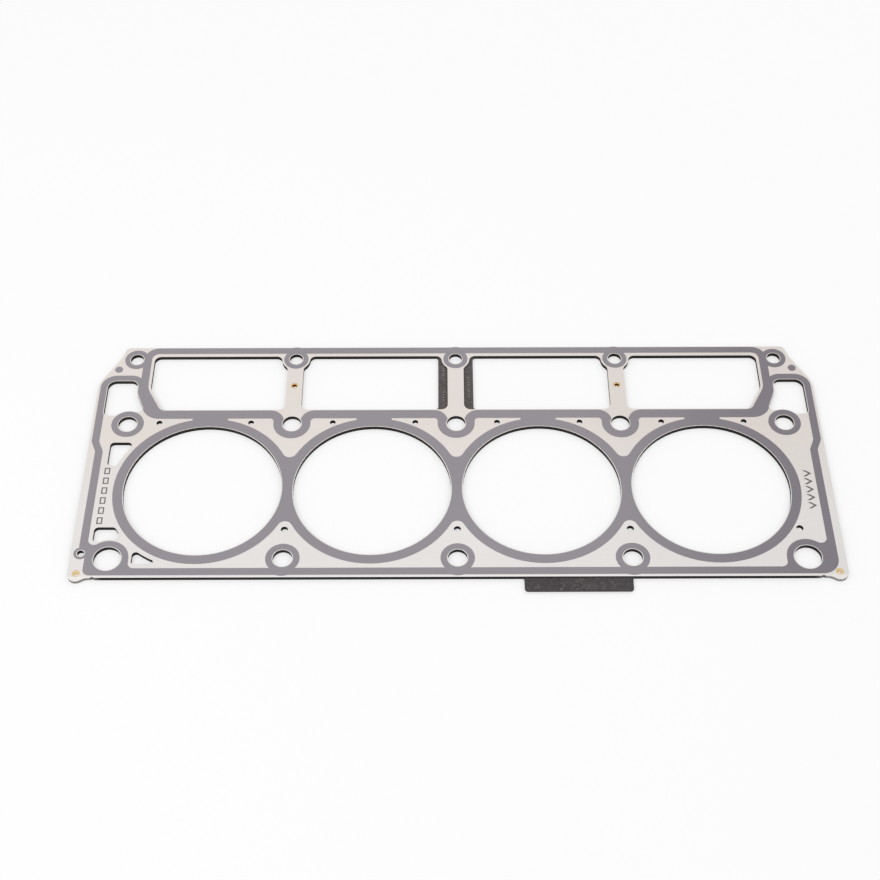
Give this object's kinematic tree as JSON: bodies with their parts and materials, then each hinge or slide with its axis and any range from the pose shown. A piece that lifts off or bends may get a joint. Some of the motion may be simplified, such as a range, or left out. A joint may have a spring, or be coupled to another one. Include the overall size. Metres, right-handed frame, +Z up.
{
  "type": "cylinder head gasket",
  "caption": "Flat steel cylinder head gasket for one bank of an engine: round bores in a row, bolt and coolant holes, valley windows, a printed seal, a dark tab and riveted ears.",
  "frame": {"origin": "middle of the bore line, on the lower facing sheet's outer face, which lies on the block's deck", "axes": "+X along the bank towards the engine's front, +Y across it towards the valley bolts, +Z up towards the cylinder head"},
  "size_m": [0.495, 0.2032, 0.0031],
  "materials": {
    "steel": "cold-rolled sheet, fine satin",
    "seal": "matt grey print",
    "eyelet": "plain, slightly dull"
  },
  "bodies": {
    "root": {"sheet_stack": "steel", "seal_print": "seal", "bolt_ring_prints": "seal", "dot_prints": "seal", "eyelets": "eyelet"}
  },
  "joints": []
}
